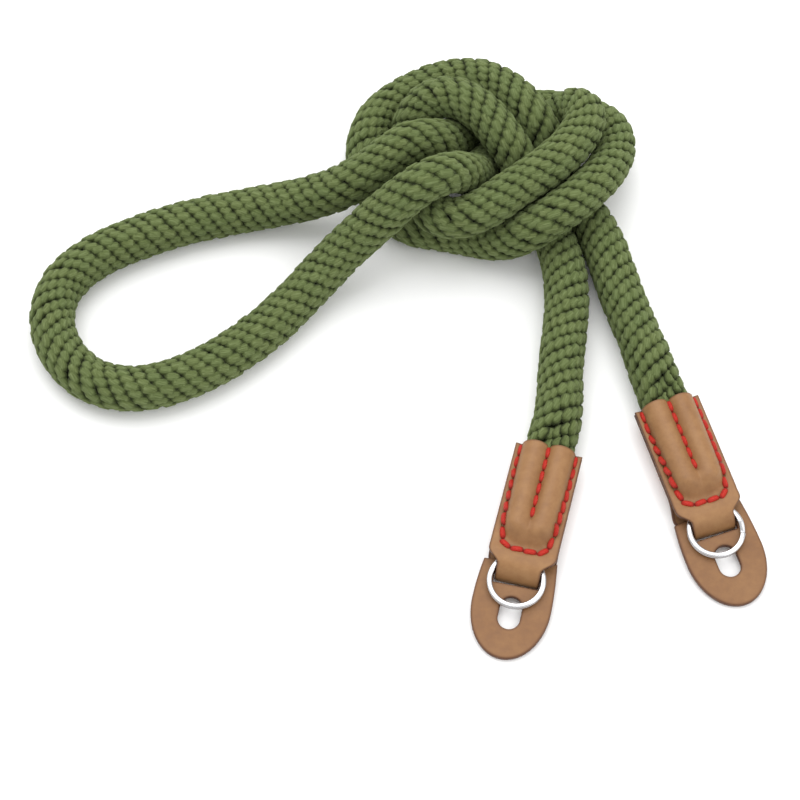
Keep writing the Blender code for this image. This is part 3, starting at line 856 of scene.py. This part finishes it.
grid[:, :, 1] = half_width[:, None] * shares
grid[:, :, 2] = strip[:, 1][:, None] + layer[:, None] * full * (rise - dip)
normal = np.cross(np.gradient(grid, axis=0), np.gradient(grid, axis=1))
normal /= np.linalg.norm(normal, axis=2)[:, :, None]
cut_side = half_width[:, None] * (1.0 - np.abs(shares))
cut_end = np.minimum(strip_at, strip_at[-1] - strip_at)[:, None]
cut = np.minimum(cut_side, cut_end)
inside = np.clip(EDGE_ROUND - cut, 0.0, EDGE_ROUND)
thick = LEATHER / 2 - EDGE_ROUND + np.sqrt(EDGE_ROUND ** 2 - inside ** 2)
to_seam = np.stack([away_from(row, seam_line(side)) for row, side in zip(grid[:, :, :2], layer)])
pulled_in = np.exp(-(to_seam / SEAM_SPREAD) ** 2)
outer = grid + normal * (thick - SEAM_SINK * pulled_in)[:, :, None]
inner = grid - normal * thick[:, :, None]
edge_dark = np.clip(1.0 - cut / EDGE_BAND, 0.0, 1.0)
print("a strip has", len(strip), "rows of", len(shares), "columns")


def grid_faces(rows, columns):
    """Faces round a flat sleeve: its outer and inner face and its four edges."""
    ring = 2 * columns
    faces = tube_faces(rows, ring, closed=False)
    for k in range(columns - 1):
        faces.append((k, k + 1, ring - 2 - k, ring - 1 - k))
        end = (rows - 1) * ring
        faces.append((end + k + 1, end + k, end + ring - 1 - k, end + ring - 2 - k))
    return faces


def both_faces(upper, lower):
    """One ring for each row: the outer face's values, then the inner face's in reverse."""
    joined = np.concatenate([upper, lower[:, ::-1]], axis=1)
    return joined.reshape(-1, *joined.shape[2:])


strip_points = both_faces(outer, inner)
strip_faces = grid_faces(len(strip), len(shares))
strip_edge = both_faces(edge_dark, np.clip(edge_dark + INNER_DARK, 0.0, 1.0))
# Painted shade: the seam grooves on the outer face, none on the inner face.
strip_seam_shade = both_faces(pulled_in, np.zeros_like(pulled_in))
holders = {}
for name, x, y, pointing, _ in ENDS:
    holders[name] = (Matrix.Translation(Vector((x + SHIFT[0], y + SHIFT[1], 0.0)))
                     @ Matrix.Rotation(pointing, 4, "Z"))


def moved(points, matrix):
    """Points, one a row, taken through a matrix."""
    turn = np.array(matrix)
    return np.asarray(points) @ turn[:3, :3].T + turn[:3, 3]


# %% [markdown]
# ### Leather
# Vegetable-tanned leather is never one brown. It is mottled at the size of a few millimetres, its
# pores are a tenth of that, and rubbed edges are darker and redder, because there the grain is
# closed or cut. Along the seams a painted shade darkens the grooves that the thread pulls in. The
# mesh carries two masks for this, edge and pulled, that were worked out with the shape.

# %% The leather's material
leather = Finish("tan_leather", tint(146, 106, 68), 0.5)
mottle = leather.noise(leather.where(), 420.0, 4.0, 0.6)
cloud = leather.noise(leather.where(), 95.0, 2.0)
pores = leather.noise(leather.where(), 2600.0, 3.0, 0.7)
edge = leather.attribute("edge")
seam_shade_and_flap_tone = leather.attribute("pulled")
tan = leather.ramp(mottle * 0.7 + cloud * 0.45 - 0.08,
                   (0.0, rgba(116, 79, 48)), (0.42, rgba(138, 99, 62)),
                   (0.62, rgba(148, 109, 70)), (1.0, rgba(165, 127, 88)))
worn = (edge ** 1.5 * (mottle * 0.8 + 0.55)).clamped()
tan = leather.mixed(worn, tan, rgba(80, 46, 25))
# Painted shade along the seam grooves of the strips; on the flaps the same mask gives one flat
# darker tone.
tan = leather.mixed((seam_shade_and_flap_tone * 0.55).clamped(), tan, rgba(84, 46, 26))
leather.set("Base Color", tan)
leather.set("Roughness", (mottle - 0.5) * 0.3 + (pores - 0.5) * 0.2 + 0.52)
leather.set("Specular IOR Level", 0.35)
grainy = leather.bumped(pores, 0.05 * MM, 0.5)
leather.set("Normal", leather.bumped(mottle, 0.16 * MM, 0.4, grainy))

# %% The two strips
for name, matrix in holders.items():
    tab = mesh_object("leather_" + name, moved(strip_points, matrix), strip_faces, leather.material,
                      edge=strip_edge, pulled=strip_seam_shade)
    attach(tab, "root")
    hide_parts("tab_" + name)
print("each strip has", count_triangles(tab), "triangles")

# %% [markdown]
# ## The sewing
# A thick waxed red thread runs in even stitches: a row down each side and across the bottom, and a
# shorter row down the middle that pulls the leather in between the rope's lobes. As with the rope,
# one stitch is modelled, with its two ends bent down into the leather, and Geometry Nodes put it on
# points laid along the seams. The points carry the leather's own normal, so the stitches follow its
# humps.

# %% Where the stitches go
THREAD_PITCH = 3.5 * MM
THREAD_LONG = 3.95 * MM
THREAD_THICK = 1.55 * MM
THREAD_SLANT = math.radians(7.0)


def on_strip(places, side):
    """Points and normals on the strip's outer face, for (from the mouth, across) on one layer."""
    rows = np.arange(len(strip))[layer == side]
    at = grid[rows, 0, 0]
    order = np.argsort(at)
    row = np.interp(places[:, 0], at[order], rows[order].astype(float))
    width = np.interp(row, np.arange(len(strip)), half_width)
    column = np.interp(places[:, 1] / width, shares, np.arange(len(shares)))
    r = np.minimum(row.astype(int), len(strip) - 2)
    c = np.minimum(column.astype(int), len(shares) - 2)
    fr, fc = (row - r)[:, None], (column - c)[:, None]
    return [v[r, c] * (1 - fr) * (1 - fc) + v[r + 1, c] * fr * (1 - fc)
            + v[r, c + 1] * (1 - fr) * fc + v[r + 1, c + 1] * fr * fc for v in (outer, normal)]


def stitch_places(chain):
    """Even places along a seam, and the places a little before and after each, for its run."""
    at = distance_along(chain)
    count = int(round(at[-1] / THREAD_PITCH))
    middle = (np.arange(count) + 0.5) * at[-1] / count
    back, on = (np.stack([np.interp(middle + shift, at, chain[:, k]) for k in range(2)], axis=1)
                for shift in (-0.5 * MM, 0.5 * MM))
    slant = np.array([[math.cos(THREAD_SLANT), -math.sin(THREAD_SLANT)],
                      [math.sin(THREAD_SLANT), math.cos(THREAD_SLANT)]])
    centre = (back + on) / 2
    run = (on - back) @ slant.T / 2
    return centre, centre - run, centre + run


sewn = {"centre": [], "run": [], "out": []}
for side in (1.0, -1.0):
    for chain in seam_line(side):
        centre, before, after = stitch_places(chain)
        point, out = on_strip(centre, side)
        sewn["centre"].append(point)
        sewn["out"].append(out)
        sewn["run"].append(on_strip(after, side)[0] - on_strip(before, side)[0])
sewn = {key: np.vstack(value) for key, value in sewn.items()}
print(len(sewn["centre"]), "stitches on each end")

# %% One stitch of thread
THREAD_SIDES = 8
THREAD_RUN = (-0.5, -0.44, -0.34, -0.18, 0.0, 0.18, 0.34, 0.44, 0.5)
THREAD_TAPER = 0.56             # it would come to a point here, half its length being 0.5
THREAD_DIVE = 0.62              # its ends go down this share of its thickness
THREAD_PROUD = 0.16             # and its middle stands this share above the leather
points, crest = [], []
for at in THREAD_RUN:
    plump = math.sqrt(max(0.0, 1.0 - (abs(at) / THREAD_TAPER) ** 3))
    sink = THREAD_DIVE * (2 * abs(at)) ** 5
    for n in range(THREAD_SIDES):
        a = 2 * math.pi * n / THREAD_SIDES
        points.append((at, math.cos(a) / 2 * plump, math.sin(a) / 2 * plump + THREAD_PROUD - sink))
        # Full in the stitch's middle and nothing at its ends, which are painted dark as shade where
        # they dive into the leather.
        crest.append(1.0 - min(1.0, 1.1 * (2 * abs(at)) ** 3))
one_thread = mesh_object("one_thread", points, tube_faces(len(THREAD_RUN), THREAD_SIDES),
                         grain=points, crest=crest)

# %% The thread's material
thread = Finish("red_thread", tint(210, 58, 44), 0.6)
thread_light_and_shade = thread.attribute("crest")
ply = thread.place("ShaderNodeTexWave", {"wave_type": "BANDS", "bands_direction": "DIAGONAL"},
                   {"Vector": thread.vector("grain"), "Scale": 2.6, "Distortion": 1.5,
                    "Detail": 1.0})
ply = thread.number(ply.outputs["Fac"])
soil = thread.noise(thread.where(), 700.0, 2.0)
# Painted shade: the thread darkens towards its ends, where they go down into their holes; the soil
# noise varies the tone.
red = thread.mixed((thread_light_and_shade * 1.15 + (soil - 0.5) * 0.4).clamped(),
                   rgba(74, 10, 8), rgba(176, 34, 22))
red = thread.mixed(ply * 0.3, red, rgba(188, 54, 36))
thread.set("Base Color", red)
thread.set("Roughness", soil * 0.2 + 0.5)
thread.set("Normal", thread.bumped(ply, 0.12 * MM, 0.7))
thread.set("Specular IOR Level", 0.3)

# %% Sewing with Geometry Nodes
sew = Tree("sew", [("Stitch", "Object"), ("Long", "Float"), ("Thick", "Float"),
                   ("Material", "Material")])
sew.finish(sew.copies("run", sew.number("Long"), sew.number("Thick"), sew.number("Thick")))
for name, matrix in holders.items():
    turn = np.array(matrix)[:3, :3]
    laid_out = mesh_object("sewing_places", moved(sewn["centre"], matrix),
                           outward=sewn["out"] @ turn.T, run=sewn["run"] @ turn.T)
    seams = sew.grow(laid_out, "thread_" + name, {
        "Stitch": one_thread, "Long": THREAD_LONG, "Thick": THREAD_THICK,
        "Material": thread.material})
    bpy.data.objects.remove(laid_out)
    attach(seams, "root")
    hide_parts("tab_" + name)
bpy.data.objects.remove(one_thread)
print("the thread of one end has", count_triangles(seams), "triangles")

# %% [markdown]
# ## The guard flaps
# A flap is a flat plate with a slit and a slot. Its two faces are filled by a Delaunay
# triangulation: points lie on the three outlines, on lines just inside them, where the rubbed edge
# rounds off, and on a plain grid between. The distance from the nearest outline then gives each
# point its height, and the mask for the dark edge.

# %% Sizes and outlines of a flap
FLAP_THICK = 1.6 * MM
FLAP_BACK = 5.6 * MM            # from the slit's middle to its straight top edge
FLAP_FRONT = 21.5 * MM          # from the slit's middle to its round tip
FLAP_TOP_HALF = 9.5 * MM
FLAP_TOP_SLANT = 1.0 * MM       # its top edge runs back this far on one side, forward on the other
FLAP_WIDE_HALF = 10.4 * MM
FLAP_WIDE_AT = 6.8 * MM
FLAP_SWING = math.radians(2.0)
SLIT_CLEARANCE = 0.75 * MM
SLOT_START = 4.6 * MM
SLOT_END = 13.4 * MM
SLOT_WIDTH = 5.8 * MM
OUTLINE_STEP = 0.45 * MM
INSETS = (0.08 * MM, 0.2 * MM, EDGE_ROUND, 0.85 * MM)  # lines of points inside the outlines
INSET_CLEAR = 0.93              # and the share of its inset that a point keeps from every outline
FILL_STEP = 0.9 * MM
FILL_CLEAR = 1.3 * MM
FILL_SCATTER = 0.12
FILL_SEED = 5
FLAP_SHADE = 0.42               # a flap is this far towards the darker brown of the pulled seams


def even_ring(corners, step):
    """A closed outline with points at even steps, its corners kept."""
    corners = np.array(corners)
    ring = []
    for a, b in zip(corners, np.roll(corners, -1, axis=0)):
        count = max(1, int(round(np.linalg.norm(b - a) / step)))
        ring += [a + (b - a) * n / count for n in range(count)]
    return np.array(ring)


def arc(centre, across, deep, start, stop, steps):
    """Points on a stretched arc, from one angle to another."""
    return [(centre + deep * math.sin(a), across * math.cos(a))
            for a in np.linspace(start, stop, steps)]


top_sides = [[(FLAP_WIDE_AT - (FLAP_WIDE_AT + FLAP_BACK + slant) * share,
               sign * (FLAP_WIDE_HALF - (FLAP_WIDE_HALF - FLAP_TOP_HALF) * share ** 2))
              for share in np.linspace(1.0, 0.2, 5)]
             for slant, sign in ((FLAP_TOP_SLANT, 1.0), (-FLAP_TOP_SLANT, -1.0))]
front = arc(FLAP_WIDE_AT, FLAP_WIDE_HALF, FLAP_FRONT - FLAP_WIDE_AT, 0.0, math.pi, 61)
plate_edge = even_ring(top_sides[0] + front + top_sides[1][::-1], OUTLINE_STEP)
slit_half, slit_wide = LEATHER / 2 + SLIT_CLEARANCE, NECK_HALF_WIDTH + GAP
slit_edge = even_ring([(slit_half, -slit_wide), (slit_half, slit_wide), (-slit_half, slit_wide),
                       (-slit_half, -slit_wide)], OUTLINE_STEP)
r = SLOT_WIDTH / 2
slot_edge = even_ring(arc(SLOT_END - r, r, r, 0.0, math.pi, 17)
                      + arc(SLOT_START + r, r, r, math.pi, 2 * math.pi, 17), OUTLINE_STEP)
outlines = [plate_edge, slit_edge, slot_edge]
closed = [np.vstack([ring, ring[:1]]) for ring in outlines]


def within(points, ring):
    """Which flat points lie inside a closed outline."""
    x, y = points[:, 0], points[:, 1]
    odd = np.zeros(len(points), bool)
    for (ax, ay), (bx, by) in zip(ring, np.roll(ring, -1, axis=0)):
        crosses = (ay > y) != (by > y)
        odd ^= crosses & (x < (bx - ax) * (y - ay) / np.where(by == ay, 1.0, by - ay) + ax)
    return odd


def on_plate(points):
    return within(points, plate_edge) & ~within(points, slit_edge) & ~within(points, slot_edge)


# %% Filling the faces
extra = []
for ring in outlines:
    run = np.roll(ring, -1, axis=0) - np.roll(ring, 1, axis=0)
    sideways = np.stack([run[:, 1], -run[:, 0]], axis=1) / np.linalg.norm(run, axis=1)[:, None]
    for inset in INSETS:
        for sign in (-1.0, 1.0):
            new = ring + sideways * inset * sign
            extra.append(new[on_plate(new) & (away_from(new, closed) > inset * INSET_CLEAR)])
u, v = np.meshgrid(np.arange(-FLAP_BACK, FLAP_FRONT, FILL_STEP),
                   np.arange(-FLAP_WIDE_HALF, FLAP_WIDE_HALF, FILL_STEP))
new = np.stack([u.ravel(), v.ravel()], axis=1)
chance = np.random.default_rng(FILL_SEED)
new = new + chance.uniform(-FILL_SCATTER, FILL_SCATTER, new.shape) * MM
extra.append(new[on_plate(new) & (away_from(new, closed) > FILL_CLEAR)])
flat_points = np.vstack(outlines + extra)
rim_edges, start = [], 0
for ring in outlines:
    rim_edges += [(start + k, start + (k + 1) % len(ring)) for k in range(len(ring))]
    start += len(ring)
found = geometry.delaunay_2d_cdt([Vector(p / MM) for p in flat_points], rim_edges, [], 0, 1e-5)
filled = np.array([tuple(p) for p in found[0]]) * MM
triangles = [tuple(face) for face in found[2]]
centres = np.array([filled[list(face)].mean(axis=0) for face in triangles])
triangles = [face for face, kept in zip(triangles, on_plate(centres)) if kept]
rim_away = away_from(filled, closed)
bevel = np.clip(EDGE_ROUND - rim_away, 0.0, EDGE_ROUND)
face_height = FLAP_THICK / 2 - EDGE_ROUND + np.sqrt(EDGE_ROUND ** 2 - bevel ** 2)
count = len(filled)
flap_points = np.vstack([np.column_stack([filled, FLAP_THICK / 2 + face_height]),
                         np.column_stack([filled, FLAP_THICK / 2 - face_height])])
flap_faces = triangles + [tuple(count + k for k in reversed(face)) for face in triangles]
sides = [side for face in triangles for side in zip(face, face[1:] + face[:1])]
met = set(sides)
flap_faces += [(b, a, count + a, count + b) for a, b in sides if (b, a) not in met]
flap_edge = np.tile(np.clip(1.0 - rim_away / EDGE_BAND, 0.0, 1.0), 2)
print("a flap has", len(flap_points), "points and", len(flap_faces), "faces")

# %% Laying the flaps
# The flap leans on the strip's under layer and touches the floor at its tip.
lean = math.atan2(LEATHER + GAP, FLAP_FRONT + LEATHER / 2)
slit_at = TAB_LENGTH - NECK_OVER[-1][0] * MM
swing = Matrix.Rotation(FLAP_SWING, 4, "Z")
tip = Vector((slit_at, 0.0, 0.0)) + swing @ Vector((FLAP_FRONT * math.cos(lean), 0.0, 0.0))
flap_places = {}
for name, matrix in holders.items():
    flap_places[name] = (matrix @ Matrix.Translation(tip) @ swing @ Matrix.Rotation(lean, 4, "Y")
                         @ Matrix.Translation((-FLAP_FRONT, 0.0, 0.0)))
    flap = mesh_object("guard_" + name, moved(flap_points, flap_places[name]), flap_faces,
                       leather.material, edge=flap_edge,
                       pulled=np.full(len(flap_points), FLAP_SHADE))
    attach(flap, "root")
    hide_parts("flap_" + name)

# %% [markdown]
# ## The split rings
# A split ring is one wire that goes round twice. Half way it steps from the lower turn to the upper
# one, and its two ends lie against the step. The wire is an oval, a little squarer than an ellipse,
# and polished: its material is plain metal with a faint unevenness in the polish, and all that it
# shows is the room around it.

# %% The rings
RING_OUTER = 15.4 * MM
WIRE_WIDE = 1.4 * MM
WIRE_HIGH = 0.75 * MM
WIRE_FULLNESS = 0.8             # 1 is an ellipse, and less is squarer
WIRE_TIP = 0.8                  # the wire's two ends are thinner by this factor
TURN_RISE = 0.8 * MM
RING_BACK = 0.2 * MM
JOG_HALF = math.radians(15.0)
RING_STATIONS = 230
WIRE_SIDES = 16

steel = Finish("polished_steel", (0.80, 0.80, 0.81), 0.14, 1.0)
polish = steel.noise(steel.where(), 500.0, 3.0)
steel.set("Roughness", polish * 0.12 + 0.14)
steel.set("Base Color", steel.mixed(polish, (0.50, 0.50, 0.51, 1.0), (0.64, 0.64, 0.65, 1.0)))

centre = (RING_OUTER - WIRE_WIDE) / 2
above = FLAP_THICK + GAP + (TURN_RISE + WIRE_HIGH) / 2
around = 2 * math.pi * (np.arange(WIRE_SIDES) + 0.5) / WIRE_SIDES
wide = np.copysign(np.abs(np.cos(around)) ** WIRE_FULLNESS, np.cos(around)) * WIRE_WIDE / 2
high = np.copysign(np.abs(np.sin(around)) ** WIRE_FULLNESS, np.sin(around)) * WIRE_HIGH / 2
for name, *_, step in ENDS:
    ring_points = []
    for n in range(RING_STATIONS + 1):
        angle = JOG_HALF + (4 * math.pi - 2 * JOG_HALF) * n / RING_STATIONS
        height = TURN_RISE * (float(ease((angle - 2 * math.pi + JOG_HALF) / (2 * JOG_HALF))) - 0.5)
        tapered = 1.0 if 0 < n < RING_STATIONS else WIRE_TIP
        reach = centre + wide * tapered
        ring_points.append(np.column_stack([reach * math.cos(angle + step),
                                            reach * math.sin(angle + step),
                                            height + high * tapered]))
    at = Matrix.Translation((TAB_LENGTH - RING_BACK - slit_at, 0.0, above))
    ring = mesh_object("steel_ring_" + name, moved(np.vstack(ring_points), flap_places[name] @ at),
                       tube_faces(RING_STATIONS + 1, WIRE_SIDES), steel.material)
    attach(ring, "root")
    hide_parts("ring_" + name)
print("each ring has", count_triangles(ring), "triangles")
